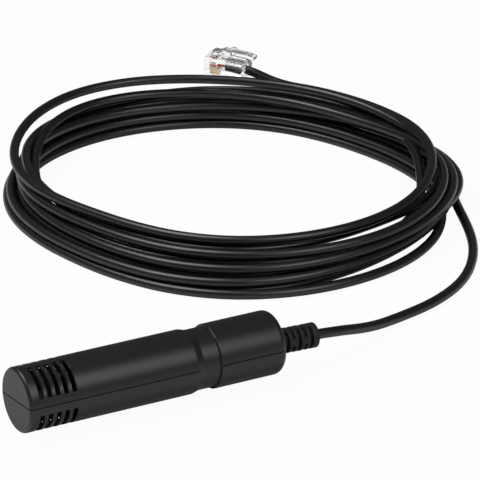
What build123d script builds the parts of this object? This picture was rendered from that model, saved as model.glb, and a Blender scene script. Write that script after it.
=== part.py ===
from build123d import *
import math
import os

os.makedirs("parts", exist_ok=True)

# Rack temperature sensor: a black probe of two half shells with vent slots at its tip,
# a ribbed strain relief, a coiled lead and a clear six-position modular plug.
# Millimetres. The probe lies along X with its tip at -X, and the floor is Z = 0.

# Probe housing
BODY_DIA = 18.0
BODY_LENGTH = 78.0
PROBE_ROLL = -4.5
WALL = 1.5
TIP_WALL = 1.4
TIP_EDGE = 1.0
REAR_WALL = 2.0
REAR_EDGE = 2.0
SEAM_WIDTH = 0.3
SEAM_DEPTH = 0.45

# Tie groove round the barrel, measured from the tip
GROOVE_START = 50.2
GROOVE_TAPER = 2.2
GROOVE_STEP = 57.3
GROOVE_DEPTH = 0.6
GROOVE_STEP_EDGE = 0.35

# Vent slots, the same in each quarter of the barrel
VENT_COUNT = 5
VENT_PITCH = 2.44
VENT_WIDTH = 1.35
VENT_FIRST = 3.6
VENT_WALL = 0.75
VENT_SPINE = 2.0
VENT_SILL = 2.3

# Locating lip of the lower shell, which nests in a rebate of the upper shell
LIP_HEIGHT = 0.9
LIP_THICKNESS = 0.6
LIP_START = 22.0
LIP_END_GAP = 4.7
LIP_CLEAR = 0.1

# Circuit board, which stands on edge across the bore, and the grips that hold its edges
BOARD_TIP_GAP = 0.2
BOARD_CABLE_GAP = 11.1
BOARD_EDGE_GAP = 0.15
BOARD_THICKNESS = 1.0
GRIP_HALF_WIDTH = 2.0
GRIP_LENGTH = 1.5
GRIP_DEPTH = 1.8
GRIP_CLEAR = 0.1
GRIP_FROM_START = 19.0

# Board parts
CHIP_LEG = (0.4, 0.9, 0.3)
SENSOR_CHIP = (3.0, 3.0, 1.1)
SENSOR_CHIP_LEGS = 3
SENSOR_CHIP_FROM_START = 5.5
INTERFACE_CHIP = (4.9, 3.9, 1.5)
INTERFACE_CHIP_LEGS = 4
CAPACITOR = (2.0, 1.25, 1.1)
CAPACITORS_FROM_CHIP = (-3.5, 4.0)
RESISTOR = (2.0, 1.25, 0.5)
RESISTORS_FROM_START = (11.5, 15.0)
PASSIVE_FROM_EDGE = 2.4

# Strain relief
BOOT_LENGTH = 13.0
BOOT_DROP = 0.5
BOOT_DIA_BODY = 8.3
BOOT_DIA_END = 7.1
BOOT_END_ROUND = 1.2
BOOT_NECK_DIA = 6.0
BOOT_FLANGE_DIA = 9.4
BOOT_FLANGE = 1.6
BOOT_FIT = 0.1
BOOT_RIB_WALL = 1.5
BOOT_GROOVES = 5
BOOT_GROOVE_FIRST = 1.3
BOOT_GROOVE_PITCH = 2.2
BOOT_GROOVE_WIDTH = 1.0
BOOT_GROOVE_FLOOR_DIA = 4.7
BOOT_BRIDGE = 1.8

# Cable and its conductors
CABLE_DIA = 2.9
CABLE_INSIDE = 2.6
WIRE_COUNT = 4
WIRE_DIA = 0.6
WIRE_PITCH = 0.72
WIRE_HOLE_CLEAR = 0.05
WIRE_ROW = 2.0
WIRE_HOLES_FROM_END = 3.0
WIRE_RISE = 2.4
WIRE_BEND = 0.9
WIRE_LEAD_IN = 2.2
WIRE_PROUD = 0.6

# Coil of cable: the outer shape of the turns
COIL_CENTRE = (82.5, 112.0)
COIL_OUTER_RADIUS = 74.0
COIL_BAND = 14.0
COIL_HEIGHT = 15.5
COIL_ROUND = 5.5

# Plug: six-position modular plug with four contacts
PLUG_LENGTH = 13.0
PLUG_WIDTH = 9.65
PLUG_HEIGHT = 6.6
PLUG_EDGE = 0.4
PLUG_REAR = (119.1, 169.1, 15.6)
PLUG_HEADING = 128.8
PLUG_PITCH = 4.0
PLUG_JACKET_DEPTH = 6.2
PLUG_CHAMBER_DEPTH = 9.2
PLUG_CHAMBER_WIDTH = 5.2
PLUG_CHAMBER_HEIGHT = 2.2
PLUG_WIRE_END = 1.2
PLUG_AXIS = 3.5
PLUG_WIRE_BEND = 0.5
PLUG_WIRE_LEAD_IN = 0.5
LATCH_WIDTH = 3.2
LATCH_HOOK_WIDTH = 6.0
LATCH_HOOK = (6.4, 8.2)
LATCH_THICKNESS = 1.0
LATCH_ROOT = 0.8
LATCH_RISE = 5.0
LATCH_GAP = 1.1
LATCH_OVERHANG = 2.6
LATCH_DROP = 0.5
CONTACT_PITCH = 1.02
CONTACT_THICKNESS = 0.4
CONTACT_LENGTH = 3.0
CONTACT_START = 1.6
CONTACT_RECESS = 0.4
CONTACT_CLEAR = 0.05

BODY_R = BODY_DIA / 2
CABLE_R = CABLE_DIA / 2
WIRE_R = WIRE_DIA / 2
OVERALL_LENGTH = BODY_LENGTH + BOOT_LENGTH
TIP_X = -OVERALL_LENGTH / 2
REAR_X = TIP_X + BODY_LENGTH
BOOT_END_X = REAR_X + BOOT_LENGTH
AXIS_Z = BODY_R
CABLE_Y = BOOT_DROP * math.sin(math.radians(PROBE_ROLL))
CABLE_Z = AXIS_Z - BOOT_DROP * math.cos(math.radians(PROBE_ROLL))
BORE_R = BODY_R - WALL
VENT_BORE_R = BODY_R - VENT_WALL
VENT_END = VENT_FIRST + VENT_PITCH * (VENT_COUNT - 1) + VENT_WIDTH
FLANGE_FACE = BODY_LENGTH - REAR_WALL - BOOT_FIT
RIB_FACE = FLANGE_FACE - BOOT_FLANGE - BOOT_FIT
JACKET_END = RIB_FACE - BOOT_RIB_WALL - CABLE_INSIDE
LIP_END = RIB_FACE - BOOT_RIB_WALL - LIP_END_GAP
BOARD_START = TIP_WALL + BOARD_TIP_GAP
BOARD_END = JACKET_END - BOARD_CABLE_GAP
BOARD_TOP = BOARD_THICKNESS / 2
BOARD_BOTTOM = -BOARD_TOP
BOARD_HALF = math.sqrt(BORE_R ** 2 - BOARD_TOP ** 2) - BOARD_EDGE_GAP
PASSIVE_ROW = BOARD_HALF - PASSIVE_FROM_EDGE
GRIP_PLACES = (BOARD_START + GRIP_FROM_START, BOARD_END)
INTERFACE_CHIP_PLACE = sum(GRIP_PLACES) / 2
WIRE_HOLE_X = BOARD_END - WIRE_HOLES_FROM_END
JACKET_STOP = PLUG_LENGTH - PLUG_JACKET_DEPTH
CHAMBER_STOP = PLUG_LENGTH - PLUG_CHAMBER_DEPTH
CUT = 2 * BODY_DIA

# Route of the lead from the strain relief to the coil, and of the tail from the coil to the plug
LEAD_STRAIGHT = 10.0
LEAD_POINTS = [
    (BOOT_END_X, CABLE_Y, CABLE_Z),
    (BOOT_END_X + LEAD_STRAIGHT, CABLE_Y, CABLE_Z),
    (67.0, 4.6, 5.0),
    (79.5, 10.4, 1.8),
    (95.0, 14.9, 1.5),
    (110.0, 23.6, 1.5),
    (122.0, 36.6, 1.5),
    (130.5, 52.5, 1.5),
    (138.0, 69.5, 1.5),
    (141.5, 83.0, 2.5),
]
TAIL_POINTS = [
    (140.0, 138.5, 12.0),
    (134.0, 149.5, 16.2),
]
TAIL_STRAIGHT = 11.0
BEND_SHARE = 0.45


def in_probe(shape):
    """Turn a piece drawn about the probe's axis to how the probe lies on the floor."""
    return Pos(0, 0, AXIS_Z) * Rot(X=PROBE_ROLL) * shape


def on_cable(shape):
    """Move a piece drawn about the probe's axis down to the cable, which leaves a little lower."""
    return Pos(0, 0, -BOOT_DROP) * shape


def on_board(shape):
    """Turn a piece drawn on a level board to the real one, which stands on edge with its top to -Y."""
    return Rot(X=90) * shape


def block(x0, x1, y0, y1, z0, z1):
    """Box between corners, with X measured from the tip along the probe's axis."""
    low = Pos(TIP_X + x0, y0, z0)
    return low * Box(x1 - x0, y1 - y0, z1 - z0, align=(Align.MIN, Align.MIN, Align.MIN))


def rod(radius, x0, x1):
    """Cylinder on the probe's axis between two distances from the tip."""
    return Pos(TIP_X + x0, 0, 0) * Rot(Y=90) * Cylinder(
        radius, x1 - x0, align=(Align.CENTER, Align.CENTER, Align.MIN)
    )


def turned(profile):
    """Solid turned about the probe's axis from (distance from the tip, radius) points."""
    points = [(TIP_X + x, 0, r) for x, r in profile]
    return revolve(make_face(Polyline(*points, close=True)), Axis.X)


def barrel():
    """Outside of the closed probe: rounded ends and the tie groove."""
    body = rod(BODY_R, 0, BODY_LENGTH)
    tip = body.edges().filter_by(GeomType.CIRCLE).sort_by(Axis.X)[0]
    body = fillet(tip, TIP_EDGE)
    rear = body.edges().filter_by(GeomType.CIRCLE).sort_by(Axis.X)[-1]
    body = fillet(rear, REAR_EDGE)
    floor_r = BODY_R - GROOVE_DEPTH
    groove = turned([
        (GROOVE_START, BODY_R),
        (GROOVE_START + GROOVE_TAPER, floor_r),
        (GROOVE_STEP, floor_r),
        (GROOVE_STEP, BODY_R + GROOVE_DEPTH),
        (GROOVE_START, BODY_R + GROOVE_DEPTH),
    ])
    body -= groove
    collar = body.edges().filter_by(GeomType.CIRCLE).sort_by_distance((TIP_X + GROOVE_STEP, 0, BODY_R))[0]
    return fillet(collar, GROOVE_STEP_EDGE)


def hollow():
    """Inside of the closed probe: thin vent bay, main bore, flange seat and cable way."""
    bay = rod(VENT_BORE_R, TIP_WALL, VENT_END)
    bore = rod(BORE_R, TIP_WALL, RIB_FACE - BOOT_RIB_WALL)
    way = rod(CABLE_R + BOOT_FIT, TIP_WALL, RIB_FACE + BOOT_FIT)
    seat = rod(BOOT_FLANGE_DIA / 2 + BOOT_FIT, RIB_FACE, FLANGE_FACE + BOOT_FIT)
    neck = rod(BOOT_NECK_DIA / 2 + BOOT_FIT, RIB_FACE, BODY_LENGTH)
    return bay + bore + on_cable(way + seat + neck)


def half_box(side):
    """Everything above (+1) or below (-1) the parting plane."""
    low, high = (0, CUT) if side > 0 else (-CUT, 0)
    return block(-CUT, BODY_LENGTH + CUT, -CUT, CUT, low, high)


def vent_cuts(side):
    """Slots of one shell, drawn straight down so that the half shell leaves its mould."""
    cuts = Part()
    for i in range(VENT_COUNT):
        x0 = VENT_FIRST + i * VENT_PITCH - VENT_WIDTH / 2
        for flank in (-1, 1):
            y0, y1 = sorted((flank * VENT_SPINE / 2, flank * CUT))
            z0, z1 = sorted((side * VENT_SILL, side * CUT))
            cuts += block(x0, x0 + VENT_WIDTH, y0, y1, z0, z1)
    return cuts


def seam_groove():
    """Fine groove where the two shells meet, along both sides and across the tip."""
    groove = Part()
    for y in (-BODY_R, BODY_R):
        bar = Box(BODY_LENGTH, 2 * SEAM_DEPTH, SEAM_WIDTH)
        groove += Pos(TIP_X + BODY_LENGTH / 2, y, 0) * bar
    return groove + Pos(TIP_X, 0, 0) * Box(2 * SEAM_DEPTH, BODY_DIA, SEAM_WIDTH)


def lip(grow):
    """Lip along both side walls, or with grow the rebate that takes it."""
    inner = BORE_R - grow
    outer = BORE_R + LIP_THICKNESS + grow
    ring = rod(outer, LIP_START - grow, LIP_END + grow)
    ring -= rod(inner, 0, BODY_LENGTH)
    return ring & block(0, BODY_LENGTH, -CUT, CUT, 0, LIP_HEIGHT + grow)


def grips(side):
    """Two slotted blocks that take the board's upper or lower edge; the rear one also stops its end."""
    z0, z1 = sorted((side * (BOARD_HALF - GRIP_DEPTH), side * BODY_R))
    blocks = Part()
    for x in GRIP_PLACES:
        half = GRIP_LENGTH / 2
        blocks += block(x - half, x + half, -GRIP_HALF_WIDTH, GRIP_HALF_WIDTH, z0, z1)
    blocks &= rod(BORE_R + WALL / 2, 0, BODY_LENGTH)
    side_room = BOARD_TOP + GRIP_CLEAR
    edge_room = BOARD_HALF + GRIP_CLEAR
    return blocks - block(BOARD_START, BOARD_END + GRIP_CLEAR, -side_room, side_room, -edge_room, edge_room)


def make_upper_shell():
    shell = (barrel() - hollow() - vent_cuts(1) - seam_groove()) & half_box(1)
    return shell - lip(LIP_CLEAR) + grips(1)


def make_lower_shell():
    shell = (barrel() - hollow() - vent_cuts(-1) - seam_groove()) & half_box(-1)
    return shell + lip(0) + grips(-1)


def wire_rows():
    """Side places of the four conductors at the board."""
    return [(i - (WIRE_COUNT - 1) / 2) * WIRE_ROW for i in range(WIRE_COUNT)]


def wire_corners():
    """Places of the four conductors in the cable's round end."""
    half = WIRE_PITCH / 2
    return [(-half, half), (-half, -half), (half, half), (half, -half)]


def make_board():
    board = block(BOARD_START, BOARD_END, -BOARD_HALF, BOARD_HALF, BOARD_BOTTOM, BOARD_TOP)
    for y in wire_rows():
        board -= Pos(TIP_X + WIRE_HOLE_X, y, BOARD_TOP) * Cylinder(WIRE_R + WIRE_HOLE_CLEAR, CUT)
    return board


def make_chip(size, place, legs):
    """Moulded chip lying on the board with a row of legs along each side."""
    length, width, height = size
    leg_length, leg_reach, leg_thickness = CHIP_LEG
    chip = block(place - length / 2, place + length / 2, -width / 2, width / 2,
                 BOARD_TOP, BOARD_TOP + height)
    pitch = length / legs
    for i in range(legs):
        x = place - length / 2 + pitch * (i + 0.5)
        reach = width / 2 + leg_reach
        chip += block(x - leg_length / 2, x + leg_length / 2, -reach, reach,
                      BOARD_TOP, BOARD_TOP + leg_thickness)
    return chip


def make_passive(size, place, y):
    length, width, height = size
    return block(place - length / 2, place + length / 2, y - width / 2, y + width / 2,
                 BOARD_TOP, BOARD_TOP + height)


def sweep_round(points, radius, bends):
    """Round bar along straight runs joined by arcs."""
    path = FilletPolyline(*points, radius=bends)
    start = Plane(origin=path @ 0, z_dir=path % 0)
    return sweep(start * Circle(radius), path)


def make_board_wire(i):
    """Conductor from the cable's end, down through its hole in the board."""
    y0, z0 = wire_corners()[i]
    y1 = wire_rows()[i]
    end_x = TIP_X + JACKET_END
    hole_x = TIP_X + WIRE_HOLE_X
    points = [
        (end_x, y0 - BOOT_DROP, z0),
        (end_x - WIRE_LEAD_IN, y0 - BOOT_DROP, z0),
        (hole_x + WIRE_LEAD_IN, y1, WIRE_RISE),
        (hole_x, y1, WIRE_RISE),
        (hole_x, y1, BOARD_BOTTOM - WIRE_PROUD),
    ]
    return sweep_round(points, WIRE_R, WIRE_BEND)


def make_strain_relief():
    flange0 = RIB_FACE + BOOT_FIT
    boot_r = BOOT_DIA_BODY / 2
    end_r = BOOT_DIA_END / 2
    boot_end = BODY_LENGTH + BOOT_LENGTH
    boot = turned([
        (flange0, 0),
        (flange0, BOOT_FLANGE_DIA / 2),
        (FLANGE_FACE, BOOT_FLANGE_DIA / 2),
        (FLANGE_FACE, BOOT_NECK_DIA / 2),
        (BODY_LENGTH, BOOT_NECK_DIA / 2),
        (BODY_LENGTH, boot_r),
        (boot_end, end_r),
        (boot_end, 0),
    ])
    rim = boot.edges().filter_by(GeomType.CIRCLE).sort_by(Axis.X)[-1]
    boot = fillet(rim, BOOT_END_ROUND)
    for i in range(BOOT_GROOVES):
        x0 = BODY_LENGTH + BOOT_GROOVE_FIRST + i * BOOT_GROOVE_PITCH
        ring = rod(BOOT_DIA_BODY, x0, x0 + BOOT_GROOVE_WIDTH)
        ring -= rod(BOOT_GROOVE_FLOOR_DIA / 2, x0, x0 + BOOT_GROOVE_WIDTH)
        bridge = Box(4 * BOOT_GROOVE_WIDTH, 2 * BOOT_DIA_BODY, BOOT_BRIDGE)
        boot -= ring - Pos(TIP_X + x0, 0, 0) * Rot(X=90 * (i % 2)) * bridge
    return boot - rod(CABLE_R, 0, boot_end + BOOT_LENGTH)


def route_radii(points):
    """Largest arcs that the runs on either side of each corner leave room for."""
    nodes = [Vector(*p) for p in points]
    radii = []
    for a, b, c in zip(nodes, nodes[1:], nodes[2:]):
        turn = math.radians((b - a).get_angle(c - b))
        radii.append(BEND_SHARE * min((b - a).length, (c - b).length) / math.tan(turn / 2))
    return radii


def cord_tube(points):
    """Tube of the cable along a route."""
    radii = route_radii(points)
    path = FilletPolyline(*points, radius=radii)
    start = Plane(origin=path @ 0, z_dir=path % 0)
    tube = sweep(start * Circle(CABLE_R), path)
    print("bend radii", [round(r, 1) for r in radii])
    section_volume = math.pi * CABLE_R ** 2 * path.length
    print("tube volume", round(tube.volume, 1), "section times length", round(section_volume, 1))
    return tube


def make_cable_coil():
    """Ring with the outer shape of the loose turns."""
    inner = COIL_OUTER_RADIUS - COIL_BAND
    section = RectangleRounded(COIL_BAND, COIL_HEIGHT, COIL_ROUND)
    ring = revolve(Plane.XZ * Pos(inner + COIL_BAND / 2, COIL_HEIGHT / 2) * section, Axis.Z)
    return Pos(COIL_CENTRE[0], COIL_CENTRE[1], 0) * ring


def on_plug(shape):
    """Place a piece drawn with the plug's nose at -X and its rear bottom centre at the origin."""
    return Pos(*PLUG_REAR) * Rot(Z=PLUG_HEADING - 180) * Rot(Y=PLUG_PITCH) * shape


def plug_block(x0, x1, width, z0, z1):
    """Box across the plug, with X measured from its nose."""
    low = Pos(x0 - PLUG_LENGTH, -width / 2, z0)
    return low * Box(x1 - x0, width, z1 - z0, align=(Align.MIN, Align.MIN, Align.MIN))


def contact_rows():
    """Side places of the contacts, one for each conductor."""
    return [(i - (WIRE_COUNT - 1) / 2) * CONTACT_PITCH for i in range(WIRE_COUNT)]


def plug_rod(radius, x0, x1, y):
    return Pos(x0 - PLUG_LENGTH, y, PLUG_AXIS) * Rot(Y=90) * Cylinder(
        radius, x1 - x0, align=(Align.CENTER, Align.CENTER, Align.MIN))


def make_latch():
    """Springy arm that rises from the plug's nose and runs back over its top."""
    top = PLUG_HEIGHT + LATCH_GAP
    end = PLUG_LENGTH + LATCH_OVERHANG
    profile = [
        (LATCH_ROOT, PLUG_HEIGHT - LATCH_THICKNESS),
        (LATCH_RISE, top),
        (PLUG_LENGTH, top),
        (end, top - LATCH_DROP),
        (end, top - LATCH_DROP + LATCH_THICKNESS),
        (PLUG_LENGTH, top + LATCH_THICKNESS),
        (LATCH_RISE, top + LATCH_THICKNESS),
        (LATCH_ROOT, PLUG_HEIGHT),
    ]
    side = make_face(Polyline(*[(x - PLUG_LENGTH, 0, z) for x, z in profile], close=True))
    arm = extrude(side, LATCH_WIDTH / 2, both=True)
    hook_start, hook_end = LATCH_HOOK
    return arm + plug_block(hook_start, hook_end, LATCH_HOOK_WIDTH, top, top + LATCH_THICKNESS)


def make_plug_body():
    body = plug_block(0, PLUG_LENGTH, PLUG_WIDTH, 0, PLUG_HEIGHT)
    body = fillet(body.edges(), PLUG_EDGE) + make_latch()
    body -= plug_rod(CABLE_R, JACKET_STOP, PLUG_LENGTH + CUT, 0)
    chamber = plug_block(CHAMBER_STOP, JACKET_STOP, PLUG_CHAMBER_WIDTH,
                         PLUG_AXIS - PLUG_CHAMBER_HEIGHT / 2, PLUG_AXIS + PLUG_CHAMBER_HEIGHT / 2)
    body -= chamber
    slot = plug_block(CONTACT_START - CONTACT_CLEAR, CONTACT_START + CONTACT_LENGTH + CONTACT_CLEAR,
                      CONTACT_THICKNESS + 2 * CONTACT_CLEAR, -PLUG_HEIGHT, PLUG_AXIS)
    for y in contact_rows():
        body -= plug_rod(WIRE_R, PLUG_WIRE_END, CHAMBER_STOP, y)
        body -= Pos(0, y, 0) * slot
    return body


def make_plug_contact(y):
    """Gold blade standing in its slot, with its upper edge on its conductor."""
    blade = plug_block(CONTACT_START, CONTACT_START + CONTACT_LENGTH, CONTACT_THICKNESS,
                       CONTACT_RECESS, PLUG_AXIS)
    return Pos(0, y, 0) * blade - plug_rod(WIRE_R, 0, PLUG_LENGTH, y)


def make_plug_wire(i):
    """Conductor fanning out from the cable's round end to its place over a contact."""
    y0, z0 = wire_corners()[i]
    y1 = contact_rows()[i]
    jacket_x = JACKET_STOP - PLUG_LENGTH
    chamber_x = CHAMBER_STOP - PLUG_LENGTH
    points = [
        (jacket_x, y0, PLUG_AXIS + z0),
        (jacket_x - PLUG_WIRE_LEAD_IN, y0, PLUG_AXIS + z0),
        (chamber_x + PLUG_WIRE_LEAD_IN, y1, PLUG_AXIS),
        (PLUG_WIRE_END - PLUG_LENGTH, y1, PLUG_AXIS),
    ]
    return sweep_round(points, WIRE_R, PLUG_WIRE_BEND)


def main():
    nodes = {}
    nodes["upper_shell"] = in_probe(make_upper_shell())
    nodes["lower_shell"] = in_probe(make_lower_shell())
    nodes["strain_relief"] = in_probe(on_cable(make_strain_relief()))
    nodes["circuit_board"] = in_probe(on_board(make_board()))
    sensor_place = BOARD_START + SENSOR_CHIP_FROM_START
    sensor_chip = make_chip(SENSOR_CHIP, sensor_place, SENSOR_CHIP_LEGS)
    nodes["temperature_chip"] = in_probe(on_board(sensor_chip))
    interface_chip = make_chip(INTERFACE_CHIP, INTERFACE_CHIP_PLACE, INTERFACE_CHIP_LEGS)
    nodes["interface_chip"] = in_probe(on_board(interface_chip))
    for i, offset in enumerate(CAPACITORS_FROM_CHIP):
        capacitor = make_passive(CAPACITOR, INTERFACE_CHIP_PLACE + offset, PASSIVE_ROW)
        nodes[f"capacitor_{i + 1}"] = in_probe(on_board(capacitor))
    for i, offset in enumerate(RESISTORS_FROM_START):
        resistor = make_passive(RESISTOR, BOARD_START + offset, PASSIVE_ROW)
        nodes[f"resistor_{i + 1}"] = in_probe(on_board(resistor))
    for i in range(WIRE_COUNT):
        nodes[f"board_wire_{i + 1}"] = in_probe(on_board(make_board_wire(i)))
    coil = make_cable_coil()
    jacket_start = (TIP_X + JACKET_END, CABLE_Y, CABLE_Z)
    inside_boot = Pos(*jacket_start) * Rot(Y=90) * Cylinder(
        CABLE_R, BOOT_END_X - jacket_start[0], align=(Align.CENTER, Align.CENTER, Align.MIN))
    nodes["cable_lead"] = inside_boot + cord_tube(LEAD_POINTS) - coil
    nodes["cable_coil"] = coil
    tail_ends = [tuple(on_plug(Pos(x, 0, PLUG_AXIS)).position) for x in (TAIL_STRAIGHT, 0)]
    inside_plug = on_plug(plug_rod(CABLE_R, JACKET_STOP, PLUG_LENGTH, 0))
    nodes["cable_tail"] = cord_tube(TAIL_POINTS + tail_ends) - coil + inside_plug
    nodes["plug_body"] = on_plug(make_plug_body())
    for i, y in enumerate(contact_rows()):
        nodes[f"plug_contact_{i + 1}"] = on_plug(make_plug_contact(y))
        nodes[f"plug_wire_{i + 1}"] = on_plug(make_plug_wire(i))
    for name, shape in nodes.items():
        export_step(shape, f"parts/{name}.step")


main()
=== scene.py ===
import math
import bpy
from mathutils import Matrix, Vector


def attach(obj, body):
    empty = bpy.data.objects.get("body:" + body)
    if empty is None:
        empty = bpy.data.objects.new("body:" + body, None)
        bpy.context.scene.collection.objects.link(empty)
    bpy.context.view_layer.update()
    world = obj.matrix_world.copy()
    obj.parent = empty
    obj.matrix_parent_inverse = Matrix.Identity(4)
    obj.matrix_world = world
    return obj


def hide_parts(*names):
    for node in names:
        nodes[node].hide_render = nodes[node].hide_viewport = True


# Rack temperature sensor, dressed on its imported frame. Sizes and places are millimetres, made metres by MM.
MM = 0.001

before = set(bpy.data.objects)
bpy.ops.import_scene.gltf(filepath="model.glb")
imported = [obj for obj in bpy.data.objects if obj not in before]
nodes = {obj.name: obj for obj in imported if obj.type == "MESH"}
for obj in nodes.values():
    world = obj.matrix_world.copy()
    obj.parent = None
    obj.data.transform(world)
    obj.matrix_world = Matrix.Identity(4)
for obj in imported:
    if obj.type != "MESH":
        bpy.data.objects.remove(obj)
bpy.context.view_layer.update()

# Probe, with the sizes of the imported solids
TIP_X = -45.5
BODY_LENGTH = 78.0
AXIS_HEIGHT = 9.0
PROBE_ROLL = -4.5
REAR_X = TIP_X + BODY_LENGTH

# Strain relief, whose axis lies a little below the probe's
BOOT_LENGTH = 13.0
BOOT_DROP = 0.5
BOOT_RADIUS = 4.15
BOOT_END_RADIUS = 3.55
BOOT_END_ROUND = 1.8
BOOT_EDGE = 0.16
BOOT_NECK_RADIUS = 3.0
BOOT_FLANGE_RADIUS = 4.7
BOOT_FLANGE = (-3.7, -2.1)
BOOT_CORE_RADIUS = 2.1
BOOT_CORE_ROOT = 1.0
BOOT_HOLE_RADIUS = 1.6
BOOT_HOLE_OVERRUN = 1.0
BOOT_OVERLAP = 0.5
BOOT_GROOVES = 5
BOOT_GROOVE_FIRST = 2.5
BOOT_GROOVE_PITCH = 1.9
BOOT_GROOVE_WIDTH = 1.1
BOOT_BRIDGE = 1.8
BOOT_SAG = 2.0
BOOT_SIDES = 64
BOOT_ROUND_STEPS = 6
BOOT_EDGE_STEPS = 2
SHARP_ANGLE = 40.0
FACES_REAR = 0.9
QUARTER_TURN = 90.0
BOOT_END_X = REAR_X + BOOT_LENGTH
CABLE_Y = BOOT_DROP * math.sin(math.radians(PROBE_ROLL))
CABLE_Z = AXIS_HEIGHT - BOOT_DROP * math.cos(math.radians(PROBE_ROLL))
CABLE_EXIT_Z = CABLE_Z - BOOT_LENGTH * math.tan(math.radians(BOOT_SAG))

# Cable, with its diameter, and the routes of its two loose ends
CABLE_DIAMETER = 2.9
CABLE_RADIUS = CABLE_DIAMETER / 2
CABLE_STEPS_ALONG = 6
CABLE_STEPS_ROUND = 6
ON_FLOOR = CABLE_RADIUS
LEAD_ROUTE = [
    (BOOT_END_X - 2.0, CABLE_Y, CABLE_EXIT_Z + 0.1),
    (BOOT_END_X + 7.0, CABLE_Y, CABLE_EXIT_Z - 0.4),
    (67.0, 5.4, 3.4),
    (79.5, 10.8, 1.5),
    (95.0, 15.2, ON_FLOOR),
    (110.0, 24.0, ON_FLOOR),
    (122.0, 37.2, ON_FLOOR),
    (131.0, 52.5, ON_FLOOR),
]
TAIL_ROUTE = [
    (143.1, 132.4, 14.3),
    (135.6, 150.7, 14.4),
    (127.2, 161.0, 14.6),
    (119.1, 169.1, 19.1),
    (115.2, 173.9, 19.5),
]

# Loose turns of the coil, one row each from the lead to the top turn.
# A turn has eight stations, counted from the camera's right towards the back.
COIL_CENTRE = (82.5, 112.0)
FIRST_STATION = -29.2
STATIONS_PER_TURN = 8
STATION_STEP = 360.0 / STATIONS_PER_TURN
POINTS_PER_STATION = 3
TURN_RADII = [
    (67.4, 71.4, 72.0, 74.5, 69.5, 66.0, 74.1, 71.0),
    (63.0, 58.0, 64.4, 68.0, 66.9, 62.9, 71.3, 63.1),
    (66.7, 62.5, 67.5, 71.4, 68.5, 65.6, 72.4, 67.3),
    (63.8, 58.5, 64.5, 68.7, 65.3, 62.4, 67.4, 61.4),
    (69.9, 64.6, 69.0, 71.9, 64.9, 62.7, 69.5, 67.9),
    (67.6, 62.5, 63.6, 68.0, 65.5, 60.0, 66.0, 67.8),
    (64.1, 58.8, 62.3, 70.4, 60.4, 60.2, 64.5, 64.3),
    (57.2, 63.8, 64.6, 72.0, 63.0, 56.0, 61.9, 58.6),
    (64.0, 61.6, 61.6, 71.9, 67.0, 57.2, 61.8, 62.2),
]
TURN_HEIGHTS = [
    (ON_FLOOR,) * STATIONS_PER_TURN,
    (ON_FLOOR,) * STATIONS_PER_TURN,
    (4.4, 4.6, 4.5, 4.5, 4.4, 4.4, 4.4, 5.2),
    (4.4, 4.3, 4.4, 4.4, 4.4, 4.4, 4.4, 5.0),
    (7.3, 7.4, 8.2, 7.3, 7.2, 7.3, 7.4, 8.4),
    (9.6, 8.1, 8.0, 8.4, 9.8, 10.2, 10.4, 11.2),
    (12.4, 10.6, 12.3, 12.3, 8.6, 7.0, 7.4, 7.3),
    (10.4, 10.6, 13.0, 10.0, 12.0, 10.0, 10.3, 10.3),
    (9.7, 14.7, 17.3, 17.0, 13.6, 13.1, 13.2, 13.5),
]
# Radius and height of the stations after the last whole turn
LAST_STATIONS = [(61.0, 14.7), (64.0, 14.2)]

# Finishes
GRAIN_DETAIL = 4.0
EDGE_SAMPLES = 6
ROUGH_SPREAD = 0.08
WIRE_COLOURS = {
    "wire_red": (0.55, 0.03, 0.03),
    "wire_black": (0.02, 0.02, 0.02),
    "wire_green": (0.03, 0.3, 0.08),
    "wire_yellow": (0.75, 0.6, 0.05),
}
WIRE_NUMBERS = range(1, len(WIRE_COLOURS) + 1)

# Camera: a long lens at the photograph's place
CAMERA_PLACE = (-413.597, -779.405, 416.074)
CAMERA_TILT = 67.223
CAMERA_HEADING = -29.217
LENS_LENGTH = 270.0
SENSOR_WIDTH = 36.0

# Studio: a pale floor, a white room and two square softboxes
FLOOR_MIDDLE = (50.0, 80.0, 0.0)
FLOOR_SIDE = 6000.0
FLOOR_COLOUR = (0.82, 0.82, 0.82, 1)
FLOOR_ROUGHNESS = 0.9
FLOOR_WHITE_SHARE = 0.95
ROOM_WHITE = (1, 1, 1, 1)
ROOM_STRENGTH = 0.1
ROOM_WHITE_SHARE = 1.0
SOFTBOX_SIDE = 600.0
OVERHEAD_PLACE = (-330.0, 260.0, 880.0)
OVERHEAD_AIM = (60.0, 90.0, 0.0)
OVERHEAD_WATTS = 7.0
FRONT_PLACE = (200.0, -700.0, 660.0)
FRONT_AIM = (0.0, 0.0, 0.0)
FRONT_WATTS = 3.7


def at_millimetres(point):
    return Vector(point) * MM


def set_camera():
    """Look down on the probe from its tip's side."""
    camera = bpy.data.cameras.new("camera")
    camera.sensor_width = SENSOR_WIDTH
    camera.lens = LENS_LENGTH
    holder = bpy.data.objects.new("camera", camera)
    holder.location = at_millimetres(CAMERA_PLACE)
    holder.rotation_euler = (math.radians(CAMERA_TILT), 0.0, math.radians(CAMERA_HEADING))
    bpy.context.scene.collection.objects.link(holder)
    bpy.context.scene.camera = holder


def between(before, start, end, after, share):
    """Smooth value between two stations, which also follows the stations on either side."""
    slope = end - before
    bend = 2 * before - 5 * start + 4 * end - after
    twist = 3 * (start - end) + after - before
    return start + 0.5 * share * (slope + share * (bend + share * twist))


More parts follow.
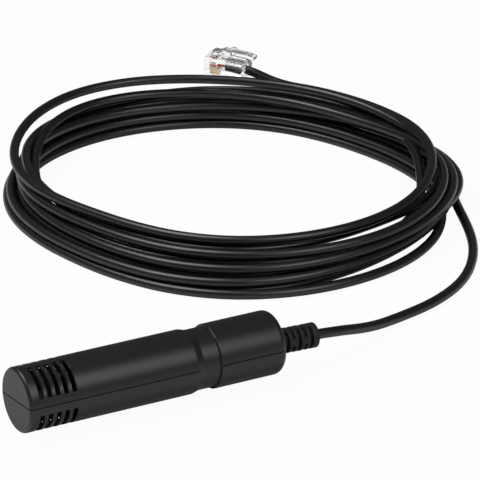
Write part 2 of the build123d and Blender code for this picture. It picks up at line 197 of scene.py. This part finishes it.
def coil_route():
    """Points of the coil's turns, worked out between the stations."""
    stations = []
    for radii, heights in zip(TURN_RADII, TURN_HEIGHTS):
        stations += zip(radii, heights)
    stations += LAST_STATIONS
    last = len(stations) - 1
    route = []
    for i in range(last):
        near = [stations[min(max(i + step, 0), last)] for step in (-1, 0, 1, 2)]
        near_radii, near_heights = zip(*near)
        for k in range(POINTS_PER_STATION):
            share = k / POINTS_PER_STATION
            radius = between(*near_radii, share)
            height = between(*near_heights, share)
            angle = math.radians(FIRST_STATION + STATION_STEP * (i + share))
            x = COIL_CENTRE[0] + radius * math.cos(angle)
            y = COIL_CENTRE[1] + radius * math.sin(angle)
            route.append((x, y, max(height, ON_FLOOR)))
    return route


def make_cable():
    """One free cord from the strain relief through the coil to the plug; its points carry its radius."""
    route = LEAD_ROUTE + coil_route() + TAIL_ROUTE
    curve = bpy.data.curves.new("cable", "CURVE")
    curve.dimensions = "3D"
    spline = curve.splines.new("NURBS")
    spline.points.add(len(route) - 1)
    for point, place in zip(spline.points, route):
        point.co = (*at_millimetres(place), 1.0)
        point.radius = CABLE_RADIUS * MM
    spline.order_u = 3
    spline.use_endpoint_u = True
    spline.resolution_u = CABLE_STEPS_ALONG
    curve.bevel_depth = 1.0
    curve.bevel_resolution = CABLE_STEPS_ROUND
    curve.use_fill_caps = True
    cable = bpy.data.objects.new("cable", curve)
    bpy.context.scene.collection.objects.link(cable)
    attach(cable, "root")
    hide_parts("cable_lead", "cable_coil", "cable_tail")
    plug = [nodes["plug_body"]]
    plug += [nodes[f"plug_contact_{i}"] for i in WIRE_NUMBERS]
    plug += [nodes[f"plug_wire_{i}"] for i in WIRE_NUMBERS]
    return cable


def new_material(name):
    material = bpy.data.materials.new(name)
    material.use_nodes = True
    shader = material.node_tree.nodes["Principled BSDF"]
    return material, material.node_tree, shader


def add_grain(tree, shader, scale, depth, strength, edge=0.0):
    """Fine surface grain as bump, on Object coordinates, over edges softened by a small radius."""
    place = tree.nodes.new("ShaderNodeTexCoord")
    noise = tree.nodes.new("ShaderNodeTexNoise")
    noise.inputs["Scale"].default_value = scale
    noise.inputs["Detail"].default_value = GRAIN_DETAIL
    bump = tree.nodes.new("ShaderNodeBump")
    bump.inputs["Distance"].default_value = depth * MM
    bump.inputs["Strength"].default_value = strength
    tree.links.new(place.outputs["Object"], noise.inputs["Vector"])
    tree.links.new(noise.outputs["Fac"], bump.inputs["Height"])
    tree.links.new(bump.outputs["Normal"], shader.inputs["Normal"])
    if edge:
        soften = tree.nodes.new("ShaderNodeBevel")
        soften.samples = EDGE_SAMPLES
        soften.inputs["Radius"].default_value = edge * MM
        tree.links.new(soften.outputs["Normal"], bump.inputs["Normal"])
    return noise


def vary(tree, noise, socket, low, high):
    """A shader value that follows the grain between two levels."""
    spread = tree.nodes.new("ShaderNodeMapRange")
    spread.inputs["To Min"].default_value = low
    spread.inputs["To Max"].default_value = high
    tree.links.new(noise.outputs["Fac"], spread.inputs["Value"])
    tree.links.new(spread.outputs["Result"], socket)


def shell_plastic():
    material, tree, shader = new_material("shell_plastic")
    shader.inputs["Base Color"].default_value = (0.0065, 0.0067, 0.007, 1)
    shader.inputs["Specular IOR Level"].default_value = 0.5
    noise = add_grain(tree, shader, scale=2600.0, depth=0.06, strength=0.3, edge=0.15)
    vary(tree, noise, shader.inputs["Roughness"], low=0.34, high=0.44)
    return material


def boot_rubber():
    material, tree, shader = new_material("boot_rubber")
    shader.inputs["Base Color"].default_value = (0.006, 0.006, 0.0065, 1)
    shader.inputs["Specular IOR Level"].default_value = 0.4
    noise = add_grain(tree, shader, scale=3200.0, depth=0.05, strength=0.3)
    vary(tree, noise, shader.inputs["Roughness"], low=0.5, high=0.7)
    return material


def cable_jacket():
    material, tree, shader = new_material("cable_jacket")
    shader.inputs["Base Color"].default_value = (0.003, 0.0033, 0.0036, 1)
    shader.inputs["Specular IOR Level"].default_value = 0.6
    noise = add_grain(tree, shader, scale=900.0, depth=0.08, strength=0.12)
    vary(tree, noise, shader.inputs["Roughness"], low=0.3, high=0.4)
    return material


def clear_plastic():
    material, tree, shader = new_material("clear_plastic")
    shader.inputs["Base Color"].default_value = (0.96, 0.97, 0.98, 1)
    shader.inputs["Transmission Weight"].default_value = 1.0
    shader.inputs["IOR"].default_value = 1.5
    noise = add_grain(tree, shader, scale=700.0, depth=0.05, strength=0.15)
    vary(tree, noise, shader.inputs["Roughness"], low=0.06, high=0.16)
    return material


def contact_gold():
    material, tree, shader = new_material("contact_gold")
    shader.inputs["Base Color"].default_value = (0.92, 0.7, 0.42, 1)
    shader.inputs["Metallic"].default_value = 1.0
    noise = add_grain(tree, shader, scale=4000.0, depth=0.02, strength=0.2)
    vary(tree, noise, shader.inputs["Roughness"], low=0.18, high=0.32)
    return material


def plain_finish(name, colour, rough, specular):
    """Finish of a small inner piece: one colour with a fine grain."""
    material, tree, shader = new_material(name)
    shader.inputs["Base Color"].default_value = (*colour, 1)
    shader.inputs["Specular IOR Level"].default_value = specular
    noise = add_grain(tree, shader, scale=3000.0, depth=0.03, strength=0.2)
    vary(tree, noise, shader.inputs["Roughness"], low=rough - ROUGH_SPREAD, high=rough + ROUGH_SPREAD)
    return material


def add_rod(name, radius, x0, x1):
    """Round bar along the cable's axis between two distances from the probe's rear."""
    bpy.ops.object.select_all(action="DESELECT")
    middle = (REAR_X + (x0 + x1) / 2, CABLE_Y, CABLE_Z)
    bpy.ops.mesh.primitive_cylinder_add(
        vertices=BOOT_SIDES,
        radius=radius * MM,
        depth=(x1 - x0) * MM,
        location=at_millimetres(middle),
        rotation=(0, math.radians(QUARTER_TURN), 0),
    )
    piece = bpy.context.object
    piece.name = name
    bpy.ops.object.transform_apply(location=True, rotation=True, scale=True)
    return piece


def combine(piece, tool, operation):
    """Join or cut one piece with another by a boolean, and drop the tool."""
    bpy.ops.object.select_all(action="DESELECT")
    bpy.context.view_layer.objects.active = piece
    piece.select_set(True)
    step = piece.modifiers.new("combine", "BOOLEAN")
    step.operation = operation
    step.solver = "EXACT"
    step.object = tool
    bpy.ops.object.modifier_apply(modifier="combine")
    bpy.data.objects.remove(tool)


def add_groove_cutters():
    """Pairs of blocks that cut the ribs, turned a quarter round from groove to groove."""
    cutters = []
    reach = 2 * BOOT_RADIUS
    for i in range(BOOT_GROOVES):
        x = REAR_X + BOOT_GROOVE_FIRST + i * BOOT_GROOVE_PITCH + BOOT_GROOVE_WIDTH / 2
        turn = math.radians(PROBE_ROLL + QUARTER_TURN * ((i + 1) % 2))
        for side in (-1, 1):
            away = side * (BOOT_BRIDGE + reach) / 2
            place = (x, CABLE_Y - away * math.sin(turn), CABLE_Z + away * math.cos(turn))
            bpy.ops.mesh.primitive_cube_add(size=1.0, location=at_millimetres(place), rotation=(turn, 0, 0))
            cutter = bpy.context.object
            cutter.scale = (BOOT_GROOVE_WIDTH * MM, 2 * reach * MM, reach * MM)
            cutters.append(cutter)
    bpy.ops.object.select_all(action="DESELECT")
    for cutter in cutters:
        cutter.select_set(True)
    bpy.context.view_layer.objects.active = cutters[0]
    bpy.ops.object.transform_apply(location=True, rotation=True, scale=True)
    bpy.ops.object.join()
    return bpy.context.object


def taper_boot(boot):
    """Draw the cable's end in to its smaller radius and round its rim."""
    end_face = [face.index for face in boot.data.polygons if face.normal.x > FACES_REAR][0]
    boot.data.polygons.foreach_set("select", [face.index == end_face for face in boot.data.polygons])
    bpy.ops.object.mode_set(mode="EDIT")
    bpy.ops.mesh.select_mode(type="FACE")
    taper = BOOT_END_RADIUS / BOOT_RADIUS
    end = at_millimetres((BOOT_END_X, CABLE_Y, CABLE_Z))
    bpy.ops.transform.resize(value=(1, taper, taper), center_override=end)
    bpy.ops.mesh.region_to_loop()
    bpy.ops.mesh.bevel(offset=BOOT_END_ROUND * MM, segments=BOOT_ROUND_STEPS, affect="EDGES")
    bpy.ops.object.mode_set(mode="OBJECT")


def soften_boot(boot):
    """Round the moulded edges a little."""
    bpy.ops.object.select_all(action="DESELECT")
    bpy.context.view_layer.objects.active = boot
    boot.select_set(True)
    soft = boot.modifiers.new("soft_edges", "BEVEL")
    soft.width = BOOT_EDGE * MM
    soft.segments = BOOT_EDGE_STEPS
    soft.limit_method = "ANGLE"
    soft.angle_limit = math.radians(SHARP_ANGLE)
    bpy.ops.object.modifier_apply(modifier="soft_edges")


def sag_boot(boot):
    """Turn the part behind the shells down a little, as the cable's weight bends it."""
    boot.data.vertices.foreach_set("select", [v.co.x > REAR_X * MM for v in boot.data.vertices])
    bpy.ops.object.mode_set(mode="EDIT")
    bpy.ops.mesh.select_mode(type="VERT")
    rear = at_millimetres((REAR_X, CABLE_Y, CABLE_Z))
    bpy.ops.transform.rotate(value=-math.radians(BOOT_SAG), orient_axis="Y", center_override=rear)
    bpy.ops.object.mode_set(mode="OBJECT")


def make_boot():
    """Ribbed strain relief: a tapered rubber cone, cut crosswise by turns, on a round core."""
    boot = add_rod("strain_relief_boot", BOOT_RADIUS, 0.0, BOOT_LENGTH)
    taper_boot(boot)
    combine(boot, add_groove_cutters(), "DIFFERENCE")
    flange_front, flange_back = BOOT_FLANGE
    core = add_rod("core", BOOT_CORE_RADIUS, -BOOT_CORE_ROOT, BOOT_LENGTH - BOOT_END_ROUND / 2)
    combine(boot, core, "UNION")
    neck = add_rod("neck", BOOT_NECK_RADIUS, flange_back - BOOT_OVERLAP, BOOT_OVERLAP)
    combine(boot, neck, "UNION")
    flange = add_rod("flange", BOOT_FLANGE_RADIUS, flange_front, flange_back)
    combine(boot, flange, "UNION")
    hole_front = flange_front - BOOT_HOLE_OVERRUN
    hole = add_rod("hole", BOOT_HOLE_RADIUS, hole_front, BOOT_LENGTH + BOOT_HOLE_OVERRUN)
    combine(boot, hole, "DIFFERENCE")
    soften_boot(boot)
    sag_boot(boot)
    bpy.ops.object.shade_smooth_by_angle(angle=math.radians(SHARP_ANGLE))
    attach(boot, "root")
    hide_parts("strain_relief")
    return boot


def paint(name, material):
    piece = nodes[name]
    piece.data.materials.clear()
    piece.data.materials.append(material)


def dress_nodes():
    """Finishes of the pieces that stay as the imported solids."""
    shell = shell_plastic()
    clear = clear_plastic()
    gold = contact_gold()
    # The board's colour is painted near-black as painted shade, so the vent slots read dark inside.
    board = plain_finish("board_black", (0.006, 0.007, 0.0065), rough=0.6, specular=0.15)
    chip = plain_finish("chip_black", (0.03, 0.03, 0.03), rough=0.5, specular=0.3)
    tan = plain_finish("capacitor_tan", (0.45, 0.33, 0.2), rough=0.5, specular=0.3)
    resistor = plain_finish("resistor_black", (0.04, 0.04, 0.045), rough=0.4, specular=0.4)
    paint("upper_shell", shell)
    paint("lower_shell", shell)
    paint("circuit_board", board)
    paint("temperature_chip", chip)
    paint("interface_chip", chip)
    paint("plug_body", clear)
    for i in (1, 2):
        paint(f"capacitor_{i}", tan)
        paint(f"resistor_{i}", resistor)
    for i, (name, colour) in zip(WIRE_NUMBERS, WIRE_COLOURS.items()):
        wire = plain_finish(name, colour, rough=0.35, specular=0.4)
        paint(f"board_wire_{i}", wire)
        paint(f"plug_wire_{i}", wire)
        paint(f"plug_contact_{i}", gold)


def white_where_seen(tree, output, lit, white, share):
    """Mix the lit shader with plain white where the camera sees it, also through the clear plug."""
    path = tree.nodes.new("ShaderNodeLightPath")
    seen = tree.nodes.new("ShaderNodeMath")
    seen.operation = "MAXIMUM"
    tree.links.new(path.outputs["Is Camera Ray"], seen.inputs[0])
    tree.links.new(path.outputs["Is Transmission Ray"], seen.inputs[1])
    part = tree.nodes.new("ShaderNodeMath")
    part.operation = "MULTIPLY"
    part.inputs[1].default_value = share
    tree.links.new(seen.outputs[0], part.inputs[0])
    mix = tree.nodes.new("ShaderNodeMixShader")
    tree.links.new(part.outputs[0], mix.inputs[0])
    tree.links.new(lit.outputs[0], mix.inputs[1])
    tree.links.new(white.outputs[0], mix.inputs[2])
    tree.links.new(mix.outputs[0], tree.nodes[output].inputs["Surface"])


def make_floor():
    bpy.ops.object.select_all(action="DESELECT")
    bpy.ops.mesh.primitive_plane_add(size=FLOOR_SIDE * MM, location=at_millimetres(FLOOR_MIDDLE))
    floor = bpy.context.object
    floor.name = "floor"
    material, tree, shader = new_material("pale_floor")
    shader.inputs["Base Color"].default_value = FLOOR_COLOUR
    shader.inputs["Roughness"].default_value = FLOOR_ROUGHNESS
    shader.inputs["Specular IOR Level"].default_value = 0.0
    white = tree.nodes.new("ShaderNodeEmission")
    white_where_seen(tree, "Material Output", shader, white, FLOOR_WHITE_SHARE)
    floor.data.materials.append(material)


def set_world():
    world = bpy.data.worlds.new("studio")
    world.use_nodes = True
    tree = world.node_tree
    room = tree.nodes["Background"]
    room.inputs["Color"].default_value = ROOM_WHITE
    room.inputs["Strength"].default_value = ROOM_STRENGTH
    white = tree.nodes.new("ShaderNodeBackground")
    white.inputs["Color"].default_value = ROOM_WHITE
    white_where_seen(tree, "World Output", room, white, ROOM_WHITE_SHARE)
    bpy.context.scene.world = world


def add_softbox(name, place, aim, watts):
    light = bpy.data.lights.new(name, "AREA")
    light.shape = "SQUARE"
    light.size = SOFTBOX_SIDE * MM
    light.energy = watts
    holder = bpy.data.objects.new(name, light)
    holder.location = at_millimetres(place)
    holder.rotation_euler = (Vector(aim) - Vector(place)).to_track_quat("-Z", "Y").to_euler()
    bpy.context.scene.collection.objects.link(holder)


def set_lights():
    add_softbox("overhead_softbox", OVERHEAD_PLACE, OVERHEAD_AIM, OVERHEAD_WATTS)
    add_softbox("front_softbox", FRONT_PLACE, FRONT_AIM, FRONT_WATTS)


def write_sizes():
    bpy.context.view_layer.update()


set_camera()
cable = make_cable()
cable.data.materials.append(cable_jacket())
boot = make_boot()
boot.data.materials.append(boot_rubber())
dress_nodes()
make_floor()
set_world()
set_lights()
bpy.context.scene.view_settings.view_transform = "Standard"
write_sizes()
